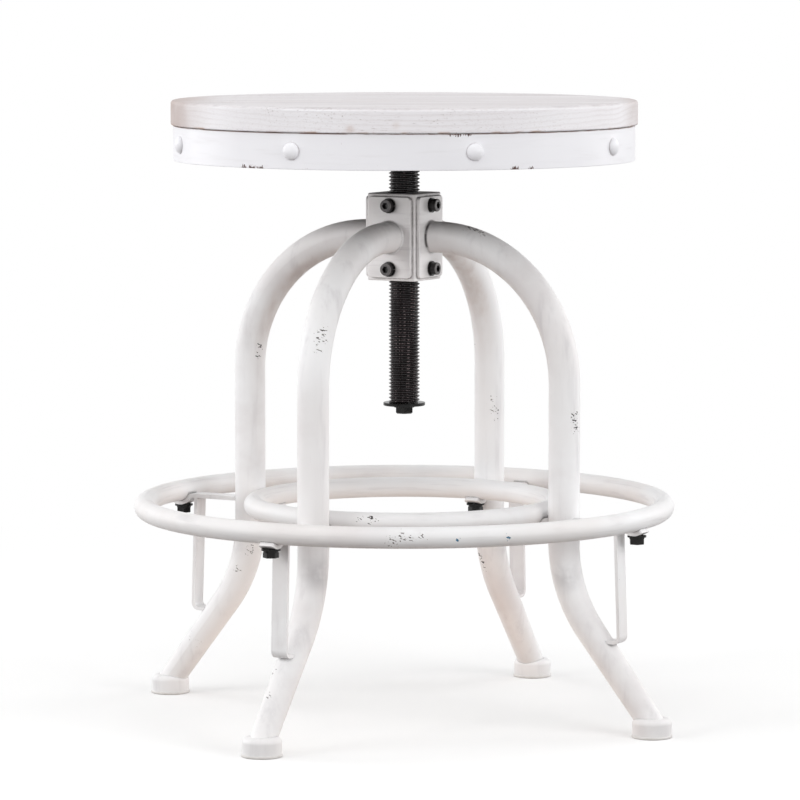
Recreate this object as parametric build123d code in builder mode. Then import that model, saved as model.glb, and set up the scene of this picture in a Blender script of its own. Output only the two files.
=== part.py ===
from build123d import *

import math
import os

# A swivel stool: a round wooden seat on a lifting screw, four arched legs bolted to a tapped hub,
# a foot ring outside the legs and a stiffening ring inside them. Millimetres, +Z up, with the
# origin on the floor under the screw. Legs stand along -Y, +X, +Y and -X.

# Seat
SEAT_HEIGHT = 597.5
SEAT_DIAMETER = 449.0
SEAT_THICKNESS = 23.3
SEAT_TOP_ROUND = 3.0
SEAT_UNDER_ROUND = 1.2
BAND_DIAMETER = 444.4
BAND_HEIGHT = 33.6
BAND_THICKNESS = 2.5
BAND_EDGE_ROUND = 0.6
BAND_TOP_GAP = 0.5
CORE_THICKNESS = 24.0
CORE_CLEARANCE = 0.2
RIVET_COUNT = 8
RIVET_TURN = 1.3
RIVET_HEAD_DIAMETER = 16.5
RIVET_HEAD_HEIGHT = 5.0
RIVET_SHANK_DIAMETER = 5.0
RIVET_LENGTH = 22.0

# Plate and wood screws under the seat
SEAT_PLATE_DIAMETER = 170.0
SEAT_PLATE_THICKNESS = 5.0
SEAT_PLATE_CHAMFER = 1.0
SEAT_SCREW_COUNT = 4
SEAT_SCREW_CIRCLE_DIAMETER = 130.0
SEAT_SCREW_DIAMETER = 5.0
SEAT_SCREW_HEAD_DIAMETER = 10.0
SEAT_SCREW_HEAD_HEIGHT = 2.8
SEAT_SCREW_BITE = 12.0
SEAT_SCREW_SLOT = 1.4

# Lifting screw, its weld to the seat plate and its stop
THREAD_DIAMETER = 30.0
THREAD_PITCH = 3.5
THREAD_DEPTH = 1.9
THREAD_CREST_SHARE = 0.125
THREAD_ROOT_SHARE = 0.25
THREAD_CLEARANCE = 0.15
SPINDLE_WELD = 4.0
STOP_DROP = 164.1
STOP_WASHER_DIAMETER = 40.5
STOP_WASHER_THICKNESS = 3.0
STOP_WASHER_CHAMFER = 0.4
STOP_PLAY = 0.3
STOP_BOLT_DIAMETER = 10.0
STOP_BOLT_ENGAGEMENT = 24.0
STOP_FLANGE_DIAMETER = 20.0
STOP_FLANGE_THICKNESS = 1.6
STOP_HEAD_FLATS = 16.0
STOP_HEAD_HEIGHT = 6.0
STOP_HEAD_CHAMFER = 1.2

# Hub and leg plates
HUB_SIZE = 52.0
HUB_HEIGHT = 84.0
HUB_DROP = 131.0
HUB_EDGE_ROUND = 1.5
HUB_MOUTH = 1.5
PLATE_WIDTH = 46.0
PLATE_HEIGHT = 78.0
PLATE_THICKNESS = 3.7
PLATE_CORNER = 4.0
PLATE_EDGE_ROUND = 0.8
PLATE_WELD = 1.4
PLATE_SCREW_SPACING = 61.0
PLATE_SCREW_DIAMETER = 8.0
PLATE_SCREW_HEAD_DIAMETER = 12.0
PLATE_SCREW_HEAD_HEIGHT = 6.0
PLATE_SCREW_HEAD_ROUND = 0.8
PLATE_SCREW_SOCKET = 6.0
PLATE_SCREW_SOCKET_DEPTH = 3.5
PLATE_SCREW_BITE = 8.0
LOCK_WASHER_DIAMETER = 14.2
LOCK_WASHER_THICKNESS = 1.7
LOCK_WASHER_SPLIT = 1.2
LOCK_WASHER_SPLIT_TURN = 20.0

# Legs and feet
LEG_ANGLES = {"front": -90.0, "right": 0.0, "back": 90.0, "left": 180.0}
LEG_COUNT = len(LEG_ANGLES)
LEG_DIAMETER = 30.0
LEG_END_DIAMETER = 24.5
LEG_WALL = 2.0
LEG_RADIUS = 174.3
ARCH_LEAD = 8.6
FLARE_Z = 180.0
FLARE_BEND = 134.0
FLARE_STEPS = 4
SPLAY_ANGLE = 37.8
FOOT_DIAMETER = 37.4
FOOT_CAP_HEIGHT = 16.0
FOOT_CAP_ROUND = 5.6
FOOT_SOCKET_DEPTH = 6.0
GLIDE_DIAMETER = 38.6
GLIDE_THICKNESS = 2.6
GLIDE_ROUND = 0.8
GLIDE_STEM_DIAMETER = 8.0
GLIDE_STEM_LENGTH = 5.0

# Rings and the bars that carry them
RING_TUBE = 20.0
RING_WALL = 1.5
RING_Z = 205.5
INNER_RING_INSET = 28.8
RING_SPACING = 106.2
BAR_WIDTH = 16.5
BAR_THICKNESS = 4.0
BAR_Z = 201.0
BAR_BEND = 6.0
BAR_CORNER = 2.5
SADDLE_CLEARANCE = 0.2
SADDLE_LIFT = 42.0
STRUT_INSET = 19.0
STRUT_THICKNESS = 3.2
STRUT_LEAN = 4.0
STRUT_STANDOFF = 26.7
STRUT_BEND = 6.0

# Bolts of the rings
RING_BOLT_DIAMETER = 8.0
RING_BOLT_FLATS = 13.0
RING_BOLT_HEAD_HEIGHT = 5.0
RING_WASHER_DIAMETER = 18.0
RING_WASHER_THICKNESS = 1.6
RING_LOCK_DIAMETER = 14.2
RING_LOCK_THICKNESS = 1.8
RING_NUT_DIAMETER = 11.0
RING_NUT_HEIGHT = 10.0
RING_NUT_COLLAR_DIAMETER = 13.4
RING_NUT_COLLAR_THICKNESS = 2.0

# Clearances
BOLT_FIT = 0.05
BOLT_HOLE_CLEARANCE = 0.3
WELD_GAP = 0.15

# Places that follow from the sizes above
SEAT_UNDER_Z = SEAT_HEIGHT - SEAT_THICKNESS
BAND_TOP_Z = SEAT_UNDER_Z - BAND_TOP_GAP
BAND_UNDER_Z = BAND_TOP_Z - BAND_HEIGHT
BAND_RADIUS = BAND_DIAMETER / 2
RIVET_Z = BAND_UNDER_Z + BAND_HEIGHT / 2
CORE_UNDER_Z = SEAT_UNDER_Z - CORE_THICKNESS
SEAT_PLATE_Z = CORE_UNDER_Z - SEAT_PLATE_THICKNESS
HUB_CENTRE_Z = SEAT_HEIGHT - HUB_DROP
STOP_WASHER_Z = HUB_CENTRE_Z - STOP_DROP
SPINDLE_END_Z = STOP_WASHER_Z + STOP_WASHER_THICKNESS + STOP_PLAY
STOP_FLANGE_Z = STOP_WASHER_Z - STOP_PLAY - STOP_FLANGE_THICKNESS
THREAD_RADIUS = THREAD_DIAMETER / 2
HUB_UNDER_Z = HUB_CENTRE_Z - HUB_HEIGHT / 2
HUB_TOP_Z = HUB_CENTRE_Z + HUB_HEIGHT / 2
PLATE_FACE = HUB_SIZE / 2 + PLATE_THICKNESS
PLATE_SCREW_RISE = PLATE_SCREW_SPACING / 2
ARCH_BEND = LEG_RADIUS - PLATE_FACE - ARCH_LEAD
FOOT_TOP_Z = GLIDE_THICKNESS + FOOT_CAP_HEIGHT
LEG_END_Z = FOOT_TOP_Z - FOOT_SOCKET_DEPTH
SPLAY = math.radians(SPLAY_ANGLE)
SHIN_TOP_RADIUS = LEG_RADIUS + FLARE_BEND * (1 - math.cos(SPLAY))
SHIN_TOP_Z = FLARE_Z - FLARE_BEND * math.sin(SPLAY)
SHIN_LENGTH = (SHIN_TOP_Z - LEG_END_Z) / math.cos(SPLAY) + LEG_DIAMETER * math.tan(SPLAY)
FLARE_LENGTH = FLARE_BEND * SPLAY
FOOT_RADIUS = SHIN_TOP_RADIUS + (SHIN_TOP_Z - LEG_END_Z) * math.tan(SPLAY)
INNER_RING_RADIUS = LEG_RADIUS - INNER_RING_INSET
OUTER_RING_RADIUS = INNER_RING_RADIUS + RING_SPACING
STRUT_RADIUS = OUTER_RING_RADIUS - STRUT_INSET
STRUT_FOOT_RADIUS = STRUT_RADIUS + STRUT_LEAN - STRUT_STANDOFF
BAR_UNDER_Z = BAR_Z - BAR_THICKNESS / 2
SADDLE_UNDER_Z = RING_Z - RING_TUBE / 2 - SADDLE_CLEARANCE - BAR_THICKNESS
RING_LOCK_Z = SADDLE_UNDER_Z - RING_WASHER_THICKNESS - RING_LOCK_THICKNESS
RING_BOLT_HOLE = RING_BOLT_DIAMETER / 2 + BOLT_HOLE_CLEARANCE
RING_UNDER_Z = RING_Z - RING_TUBE / 2
RING_NUT_Z = RING_UNDER_Z + RING_WALL

ON_FLOOR = (Align.CENTER, Align.CENTER, Align.MIN)

os.makedirs("parts", exist_ok=True)


def leg_plane(radius, height, turn):
    """A plane square to a leg's axis on the +X side, where the axis leans out by turn."""
    heading = (math.sin(turn), 0, -math.cos(turn))
    return Plane(origin=(radius, 0, height), x_dir=(0, 1, 0), z_dir=heading)


def leg_height(radius):
    """Height of the axis of a leg where its flare or shin passes a radius."""
    if radius > SHIN_TOP_RADIUS:
        return SHIN_TOP_Z - (radius - SHIN_TOP_RADIUS) / math.tan(SPLAY)
    turn = math.acos(1 - (radius - LEG_RADIUS) / FLARE_BEND)
    return FLARE_Z - FLARE_BEND * math.sin(turn)


def leg_form(growth):
    """The leg on the +X side as a solid: arch, upright, flare and shin, grown by a distance."""
    top_radius = LEG_DIAMETER / 2
    taper = (LEG_DIAMETER - LEG_END_DIAMETER) / 2 / (FLARE_LENGTH + SHIN_LENGTH)
    with BuildPart() as form:
        with BuildLine(Plane.XZ):
            arch_start = (LEG_RADIUS - ARCH_BEND, HUB_CENTRE_Z)
            Line((PLATE_FACE, HUB_CENTRE_Z), arch_start)
            arch = JernArc(arch_start, (1, 0), ARCH_BEND, -90)
            Line(arch @ 1, (LEG_RADIUS, FLARE_Z))
        with BuildSketch(leg_plane(PLATE_FACE, HUB_CENTRE_Z, math.pi / 2)):
            Circle(top_radius + growth)
        sweep()
        for step in range(FLARE_STEPS + 1):
            turn = SPLAY * step / FLARE_STEPS
            radius = LEG_RADIUS + FLARE_BEND * (1 - math.cos(turn))
            height = FLARE_Z - FLARE_BEND * math.sin(turn)
            with BuildSketch(leg_plane(radius, height, turn)):
                Circle(top_radius - taper * FLARE_BEND * turn + growth)
        loft()
        shin_top = leg_plane(SHIN_TOP_RADIUS, SHIN_TOP_Z, SPLAY)
        with BuildSketch(shin_top):
            Circle(top_radius - taper * FLARE_LENGTH + growth)
        with BuildSketch(shin_top.offset(SHIN_LENGTH)):
            Circle(LEG_END_DIAMETER / 2 + growth)
        loft(ruled=True)
    return form.part


def thread_profile(bottom, top):
    """Half outline of the threaded rod between two heights: a ridge for each pitch, then the axis."""
    root = THREAD_RADIUS - THREAD_DEPTH
    flank = THREAD_PITCH * (1 - THREAD_CREST_SHARE - THREAD_ROOT_SHARE) / 2
    crest = THREAD_PITCH * THREAD_CREST_SHARE
    points = [(0, bottom), (root, bottom)]
    for ridge in range(int((top - bottom) / THREAD_PITCH)):
        foot = bottom + THREAD_PITCH * (ridge + THREAD_ROOT_SHARE)
        points.append((root, foot))
        points.append((THREAD_RADIUS, foot + flank))
        points.append((THREAD_RADIUS, foot + flank + crest))
        points.append((root, foot + 2 * flank + crest))
    return points + [(root, top), (0, top)]


def bar_form(ring_radius, outward):
    """A flat bar from the leg's axis to a ring, with a joggle down to a saddle under its tube."""
    saddle = RING_TUBE / 2 + SADDLE_CLEARANCE + BAR_THICKNESS / 2
    drop = RING_Z - BAR_Z + BAR_BEND
    reach = math.sqrt((saddle + BAR_BEND) ** 2 - drop**2)
    turn = math.degrees(math.acos(drop / (saddle + BAR_BEND)))
    with BuildPart() as bar:
        with BuildSketch(Plane.XZ):
            with BuildLine():
                joggle_start = (ring_radius - outward * reach, BAR_Z)
                Line((LEG_RADIUS, BAR_Z), joggle_start)
                joggle = JernArc(joggle_start, (outward, 0), BAR_BEND, -outward * turn)
                JernArc(joggle @ 1, joggle % 1, saddle, outward * (turn + SADDLE_LIFT))
            trace(line_width=BAR_THICKNESS)
        extrude(amount=BAR_WIDTH / 2, both=True)
        ends = bar.faces().filter_by(GeomType.PLANE).sort_by(Axis.X)
        tip = ends[-1] if outward > 0 else ends[0]
        tip_edges = tip.edges().filter_by(Axis.Y, reverse=True)
        fillet(tip_edges, BAR_CORNER)
        with Locations((ring_radius, 0, SADDLE_UNDER_Z)):
            Cylinder(RING_BOLT_HOLE, RING_TUBE, mode=Mode.SUBTRACT)
        add(leg_socket, mode=Mode.SUBTRACT)
    return bar.part


def split_washer(diameter, bore, thickness):
    """A spring lock washer on the floor of its own frame, cut through by a slanted slot."""
    with BuildPart() as washer:
        Cylinder(diameter / 2, thickness, align=ON_FLOOR)
        Cylinder(bore / 2, thickness, align=ON_FLOOR, mode=Mode.SUBTRACT)
        with Locations(Location((diameter / 2, 0, thickness / 2), (LOCK_WASHER_SPLIT_TURN, 0, 0))):
            Box(diameter, LOCK_WASHER_SPLIT, diameter, mode=Mode.SUBTRACT)
    return washer.part


leg_socket = leg_form(WELD_GAP)

# Wooden seat, with blind holes for the screws that come up through the plate
with BuildPart() as seat_top:
    with Locations((0, 0, SEAT_UNDER_Z)):
        Cylinder(SEAT_DIAMETER / 2, SEAT_THICKNESS, align=ON_FLOOR)
    rims = seat_top.edges().sort_by(Axis.Z)
    fillet(rims[-1], SEAT_TOP_ROUND)
    fillet(rims[0], SEAT_UNDER_ROUND)
    with Locations((0, 0, SEAT_UNDER_Z)):
        with PolarLocations(SEAT_SCREW_CIRCLE_DIAMETER / 2, SEAT_SCREW_COUNT):
            Cylinder(
                SEAT_SCREW_DIAMETER / 2 + BOLT_FIT,
                SEAT_SCREW_BITE + BOLT_FIT,
                align=ON_FLOOR,
                mode=Mode.SUBTRACT,
            )
seat_top.part.label = "seat_top"
export_step(seat_top.part, "parts/seat_top.step")

# Plywood core inside the band, bored for the rivets and the screws
with BuildPart() as seat_core:
    with Locations((0, 0, CORE_UNDER_Z)):
        Cylinder(BAND_RADIUS - BAND_THICKNESS - CORE_CLEARANCE, CORE_THICKNESS, align=ON_FLOOR)
        with PolarLocations(SEAT_SCREW_CIRCLE_DIAMETER / 2, SEAT_SCREW_COUNT):
            Cylinder(
                SEAT_SCREW_DIAMETER / 2 + BOLT_FIT,
                CORE_THICKNESS,
                align=ON_FLOOR,
                mode=Mode.SUBTRACT,
            )
    with Locations((0, 0, RIVET_Z)):
        with PolarLocations(BAND_RADIUS, RIVET_COUNT, start_angle=RIVET_TURN):
            Cylinder(
                RIVET_SHANK_DIAMETER / 2 + BOLT_FIT,
                2 * (RIVET_LENGTH + BOLT_FIT),
                rotation=(0, 90, 0),
                mode=Mode.SUBTRACT,
            )
seat_core.part.label = "seat_core"
export_step(seat_core.part, "parts/seat_core.step")

# Steel band, with a hole for each rivet
with BuildPart() as seat_band:
    with Locations((0, 0, BAND_UNDER_Z)):
        Cylinder(BAND_RADIUS, BAND_HEIGHT, align=ON_FLOOR)
        Cylinder(BAND_RADIUS - BAND_THICKNESS, BAND_HEIGHT, align=ON_FLOOR, mode=Mode.SUBTRACT)
    fillet(seat_band.edges().filter_by(GeomType.CIRCLE), BAND_EDGE_ROUND)
    with Locations((0, 0, RIVET_Z)):
        with PolarLocations(BAND_RADIUS, RIVET_COUNT, start_angle=RIVET_TURN):
            Cylinder(
                RIVET_SHANK_DIAMETER / 2 + BOLT_FIT,
                2 * RIVET_LENGTH,
                rotation=(0, 90, 0),
                mode=Mode.SUBTRACT,
            )
seat_band.part.label = "seat_band"
export_step(seat_band.part, "parts/seat_band.step")

# Domed rivet on the +X side, then one for each place around the band
with BuildPart() as rivet:
    with BuildSketch(Plane.XZ):
        with BuildLine():
            dome_top = (BAND_RADIUS + RIVET_HEAD_HEIGHT, RIVET_Z)
            dome_rim = (BAND_RADIUS, RIVET_Z + RIVET_HEAD_DIAMETER / 2)
            shank_top = RIVET_Z + RIVET_SHANK_DIAMETER / 2
            shank_end = BAND_RADIUS - RIVET_LENGTH
            EllipticalCenterArc(
                (BAND_RADIUS, RIVET_Z), RIVET_HEAD_HEIGHT, RIVET_HEAD_DIAMETER / 2, arc_size=90
            )
            Polyline(
                dome_rim,
                (BAND_RADIUS, shank_top),
                (shank_end, shank_top),
                (shank_end, RIVET_Z),
                dome_top,
            )
        make_face()
    revolve(axis=Axis((0, 0, RIVET_Z), (1, 0, 0)))

with BuildPart() as band_rivets:
    with PolarLocations(0, RIVET_COUNT, start_angle=RIVET_TURN):
        add(rivet.part)
band_rivets.part.label = "band_rivets"
export_step(band_rivets.part, "parts/band_rivets.step")

# Round plate under the core, with its screw holes and the weld around the top of the spindle
with BuildPart() as seat_plate:
    with Locations((0, 0, SEAT_PLATE_Z)):
        Cylinder(SEAT_PLATE_DIAMETER / 2, SEAT_PLATE_THICKNESS, align=ON_FLOOR)
    chamfer(seat_plate.edges().sort_by(Axis.Z)[0], SEAT_PLATE_CHAMFER)
    with Locations((0, 0, SEAT_PLATE_Z)):
        with PolarLocations(SEAT_SCREW_CIRCLE_DIAMETER / 2, SEAT_SCREW_COUNT):
            Cylinder(
                SEAT_SCREW_DIAMETER / 2 + BOLT_HOLE_CLEARANCE,
                SEAT_PLATE_THICKNESS,
                align=ON_FLOOR,
                mode=Mode.SUBTRACT,
            )
    with BuildSketch(Plane.XZ):
        with BuildLine():
            weld_root = THREAD_RADIUS + WELD_GAP
            Polyline(
                (weld_root, SEAT_PLATE_Z),
                (weld_root + SPINDLE_WELD, SEAT_PLATE_Z),
                (weld_root, SEAT_PLATE_Z - SPINDLE_WELD),
                close=True,
            )
        make_face()
    revolve(axis=Axis.Z)
seat_plate.part.label = "seat_plate"
export_step(seat_plate.part, "parts/seat_plate.step")

# Slotted round-head wood screws
with BuildPart() as seat_plate_screws:
    with Locations((0, 0, SEAT_PLATE_Z)):
        with PolarLocations(SEAT_SCREW_CIRCLE_DIAMETER / 2, SEAT_SCREW_COUNT):
            Cylinder(
                SEAT_SCREW_DIAMETER / 2,
                SEAT_PLATE_THICKNESS + CORE_THICKNESS + SEAT_SCREW_BITE,
                align=ON_FLOOR,
            )
            Cylinder(
                SEAT_SCREW_HEAD_DIAMETER / 2,
                SEAT_SCREW_HEAD_HEIGHT,
                align=(Align.CENTER, Align.CENTER, Align.MAX),
            )
    head_rims = seat_plate_screws.edges().filter_by(GeomType.CIRCLE).group_by(Axis.Z)[0]
    fillet(head_rims, SEAT_SCREW_HEAD_HEIGHT / 2)
    with Locations((0, 0, SEAT_PLATE_Z - SEAT_SCREW_HEAD_HEIGHT)):
        with PolarLocations(SEAT_SCREW_CIRCLE_DIAMETER / 2, SEAT_SCREW_COUNT):
            Box(SEAT_SCREW_HEAD_DIAMETER, SEAT_SCREW_SLOT, SEAT_SCREW_HEAD_HEIGHT, mode=Mode.SUBTRACT)
seat_plate_screws.part.label = "seat_plate_screws"
export_step(seat_plate_screws.part, "parts/seat_plate_screws.step")

# Lifting screw: a threaded rod with a tapped hole in its lower end
with BuildPart() as spindle:
    with BuildSketch(Plane.XZ):
        with BuildLine():
            Polyline(*thread_profile(SPINDLE_END_Z, SEAT_PLATE_Z), close=True)
        make_face()
    revolve(axis=Axis.Z)
    with Locations((0, 0, SPINDLE_END_Z)):
        Cylinder(
            STOP_BOLT_DIAMETER / 2 + BOLT_FIT,
            STOP_BOLT_ENGAGEMENT,
            align=ON_FLOOR,
            mode=Mode.SUBTRACT,
        )
spindle.part.label = "spindle"
export_step(spindle.part, "parts/spindle.step")

# Stop washer, loose between the end of the spindle and the flange of its bolt
with BuildPart() as stop_washer:
    with Locations((0, 0, STOP_WASHER_Z)):
        Cylinder(STOP_WASHER_DIAMETER / 2, STOP_WASHER_THICKNESS, align=ON_FLOOR)
    chamfer(stop_washer.edges().filter_by(GeomType.CIRCLE), STOP_WASHER_CHAMFER)
    with Locations((0, 0, STOP_WASHER_Z)):
        Cylinder(
            STOP_BOLT_DIAMETER / 2 + BOLT_HOLE_CLEARANCE,
            STOP_WASHER_THICKNESS,
            align=ON_FLOOR,
            mode=Mode.SUBTRACT,
        )
stop_washer.part.label = "stop_washer"
export_step(stop_washer.part, "parts/stop_washer.step")

# Flanged hex bolt under the stop washer
with BuildPart() as stop_bolt:
    with Locations((0, 0, STOP_FLANGE_Z)):
        Cylinder(STOP_FLANGE_DIAMETER / 2, STOP_FLANGE_THICKNESS, align=ON_FLOOR)
    with BuildSketch(Plane.XY.offset(STOP_FLANGE_Z)):
        RegularPolygon(STOP_HEAD_FLATS / 2, 6, major_radius=False)
    extrude(amount=-STOP_HEAD_HEIGHT)
    chamfer(stop_bolt.faces().sort_by(Axis.Z)[0].edges(), STOP_HEAD_CHAMFER)
    with Locations((0, 0, STOP_FLANGE_Z)):
        Cylinder(
            STOP_BOLT_DIAMETER / 2,
            SPINDLE_END_Z - STOP_FLANGE_Z + STOP_BOLT_ENGAGEMENT - STOP_PLAY,
            align=ON_FLOOR,
        )
stop_bolt.part.label = "stop_bolt"
export_step(stop_bolt.part, "parts/stop_bolt.step")

# Hub block, bored through for the spindle and drilled for the plate screws
with BuildPart() as hub_block:
    with Locations((0, 0, HUB_CENTRE_Z)):
        Box(HUB_SIZE, HUB_SIZE, HUB_HEIGHT)
    fillet(hub_block.edges(), HUB_EDGE_ROUND)
    with BuildSketch(Plane.XZ):
        with BuildLine():
            bore = THREAD_RADIUS + THREAD_CLEARANCE
            Polyline(
                (0, HUB_UNDER_Z),
                (bore + HUB_MOUTH, HUB_UNDER_Z),
                (bore, HUB_UNDER_Z + HUB_MOUTH),
                (bore, HUB_TOP_Z - HUB_MOUTH),
                (bore + HUB_MOUTH, HUB_TOP_Z),
                (0, HUB_TOP_Z),
                close=True,
            )
        make_face()
    revolve(axis=Axis.Z, mode=Mode.SUBTRACT)
    for rise in (-PLATE_SCREW_RISE, PLATE_SCREW_RISE):
        with Locations((0, 0, HUB_CENTRE_Z + rise)):
            with PolarLocations(HUB_SIZE / 2, LEG_COUNT):
                Cylinder(
                    PLATE_SCREW_DIAMETER / 2 + BOLT_FIT,
                    2 * (PLATE_SCREW_BITE + BOLT_FIT),
                    rotation=(0, 90, 0),
                    mode=Mode.SUBTRACT,
                )
hub_block.part.label = "hub_block"
export_step(hub_block.part, "parts/hub_block.step")

# Leg plate on the +X face of the hub, with the weld around the foot of the tube
with BuildPart() as leg_plate:
    with BuildSketch(Plane.YZ.offset(HUB_SIZE / 2)):
        with Locations((0, HUB_CENTRE_Z)):
            RectangleRounded(PLATE_WIDTH, PLATE_HEIGHT, PLATE_CORNER)
    extrude(amount=PLATE_THICKNESS)
    fillet(leg_plate.faces().sort_by(Axis.X)[-1].edges(), PLATE_EDGE_ROUND)
    with BuildSketch(Plane.XZ):
        with BuildLine():
            weld_root = HUB_CENTRE_Z + LEG_DIAMETER / 2 + WELD_GAP
            Polyline(
                (PLATE_FACE, weld_root + PLATE_WELD),
                (PLATE_FACE, weld_root),
                (PLATE_FACE + PLATE_WELD, weld_root),
            )
            TangentArc(
                (PLATE_FACE + PLATE_WELD, weld_root),
                (PLATE_FACE, weld_root + PLATE_WELD),
                tangent=(-1, 0.3),
            )
        make_face()
    revolve(axis=Axis((0, 0, HUB_CENTRE_Z), (1, 0, 0)))
    for rise in (-PLATE_SCREW_RISE, PLATE_SCREW_RISE):
        with Locations((PLATE_FACE, 0, HUB_CENTRE_Z + rise)):
            Cylinder(
                PLATE_SCREW_DIAMETER / 2 + BOLT_HOLE_CLEARANCE,
                4 * PLATE_THICKNESS,
                rotation=(0, 90, 0),
                mode=Mode.SUBTRACT,
            )

# Socket-head screw and lock washer at the top of the +X plate
screw_plane = Plane(
    origin=(PLATE_FACE, 0, HUB_CENTRE_Z + PLATE_SCREW_RISE), x_dir=(0, 1, 0), z_dir=(1, 0, 0)
)
with BuildPart() as plate_screw:
    with BuildSketch(screw_plane.offset(LOCK_WASHER_THICKNESS)):
        Circle(PLATE_SCREW_HEAD_DIAMETER / 2)
    extrude(amount=PLATE_SCREW_HEAD_HEIGHT)
    fillet(plate_screw.faces().sort_by(Axis.X)[-1].edges(), PLATE_SCREW_HEAD_ROUND)
    with BuildSketch(plate_screw.faces().sort_by(Axis.X)[-1]):
        RegularPolygon(PLATE_SCREW_SOCKET / 2, 6, major_radius=False)
    extrude(amount=-PLATE_SCREW_SOCKET_DEPTH, mode=Mode.SUBTRACT)
    with BuildSketch(screw_plane.offset(LOCK_WASHER_THICKNESS)):
        Circle(PLATE_SCREW_DIAMETER / 2)
    extrude(amount=-(LOCK_WASHER_THICKNESS + PLATE_THICKNESS + PLATE_SCREW_BITE))

lock_washer = split_washer(
    LOCK_WASHER_DIAMETER, PLATE_SCREW_DIAMETER + 2 * BOLT_HOLE_CLEARANCE, LOCK_WASHER_THICKNESS
)

with BuildPart() as plate_screws:
    for drop in (0, -PLATE_SCREW_SPACING):
        with Locations((0, 0, drop)):
            with PolarLocations(0, LEG_COUNT):
                add(plate_screw.part)
plate_screws.part.label = "plate_screws"
export_step(plate_screws.part, "parts/plate_screws.step")

with BuildPart() as plate_lock_washers:
    for drop in (0, -PLATE_SCREW_SPACING):
        with Locations((0, 0, drop)):
            with PolarLocations(0, LEG_COUNT):
                with Locations(screw_plane):
                    add(lock_washer)
plate_lock_washers.part.label = "plate_lock_washers"
export_step(plate_lock_washers.part, "parts/plate_lock_washers.step")

# Leg tube on the +X side, hollow from the plate to the foot
leg_body = leg_form(0)
leg_bore = leg_form(-LEG_WALL)
with BuildPart() as leg_tube:
    add(leg_body)
    add(leg_bore, mode=Mode.SUBTRACT)
    split(bisect_by=Plane.XY.offset(LEG_END_Z), keep=Keep.TOP)

# Foot cap with a slanted socket for the leg and a hole for the glide's stem
with BuildPart() as leg_above_socket:
    add(leg_socket)
    split(bisect_by=Plane.XY.offset(LEG_END_Z), keep=Keep.TOP)
with BuildPart() as foot_cap:
    with Locations((FOOT_RADIUS, 0, GLIDE_THICKNESS)):
        Cylinder(FOOT_DIAMETER / 2, FOOT_CAP_HEIGHT, align=ON_FLOOR)
    fillet(foot_cap.edges().sort_by(Axis.Z)[-1], FOOT_CAP_ROUND)
    add(leg_above_socket.part, mode=Mode.SUBTRACT)
    with Locations((FOOT_RADIUS, 0, GLIDE_THICKNESS)):
        Cylinder(
            GLIDE_STEM_DIAMETER / 2 + BOLT_FIT,
            GLIDE_STEM_LENGTH + BOLT_FIT,
            align=ON_FLOOR,
            mode=Mode.SUBTRACT,
        )

# Glide under the cap
with BuildPart() as foot_glide:
    with Locations((FOOT_RADIUS, 0, 0)):
        Cylinder(GLIDE_DIAMETER / 2, GLIDE_THICKNESS, align=ON_FLOOR)
    fillet(foot_glide.edges().filter_by(GeomType.CIRCLE), GLIDE_ROUND)
    with Locations((FOOT_RADIUS, 0, 0)):
        Cylinder(GLIDE_STEM_DIAMETER / 2, GLIDE_THICKNESS + GLIDE_STEM_LENGTH, align=ON_FLOOR)

# Bars that carry the rings
ring_arm = bar_form(OUTER_RING_RADIUS, 1)
ring_tab = bar_form(INNER_RING_RADIUS, -1)

# Strap from the arm down to the leg, leaning out and turned in at its foot
strut_foot_z = leg_height(STRUT_FOOT_RADIUS)
strut_slope = STRUT_LEAN / (BAR_UNDER_Z - strut_foot_z)
with BuildPart() as ring_strut:
    with BuildSketch(Plane.XZ):
        with BuildLine():
            FilletPolyline(
                (STRUT_RADIUS - strut_slope * STRUT_THICKNESS, BAR_UNDER_Z + STRUT_THICKNESS),
                (STRUT_RADIUS + STRUT_LEAN, strut_foot_z),
                (STRUT_FOOT_RADIUS, strut_foot_z),
                radius=STRUT_BEND,
            )
        trace(line_width=STRUT_THICKNESS)
    extrude(amount=BAR_WIDTH / 2, both=True)
    split(bisect_by=Plane.XY.offset(BAR_UNDER_Z), keep=Keep.BOTTOM)
    add(leg_socket, mode=Mode.SUBTRACT)

# Pieces that every leg has, turned to each leg's own direction
LEG_PIECES = {
    "leg_plate": leg_plate.part,
    "leg_tube": leg_tube.part,
    "foot_cap": foot_cap.part,
    "foot_glide": foot_glide.part,
    "ring_arm": ring_arm,
    "ring_tab": ring_tab,
    "ring_strut": ring_strut.part,
}
for leg, angle in LEG_ANGLES.items():
    for kind, master in LEG_PIECES.items():
        with BuildPart() as leg_piece:
            with Locations(Location((0, 0, 0), (0, 0, angle))):
                add(master)
        leg_piece.part.label = f"{leg}_{kind}"
        export_step(leg_piece.part, f"parts/{leg}_{kind}.step")

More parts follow.
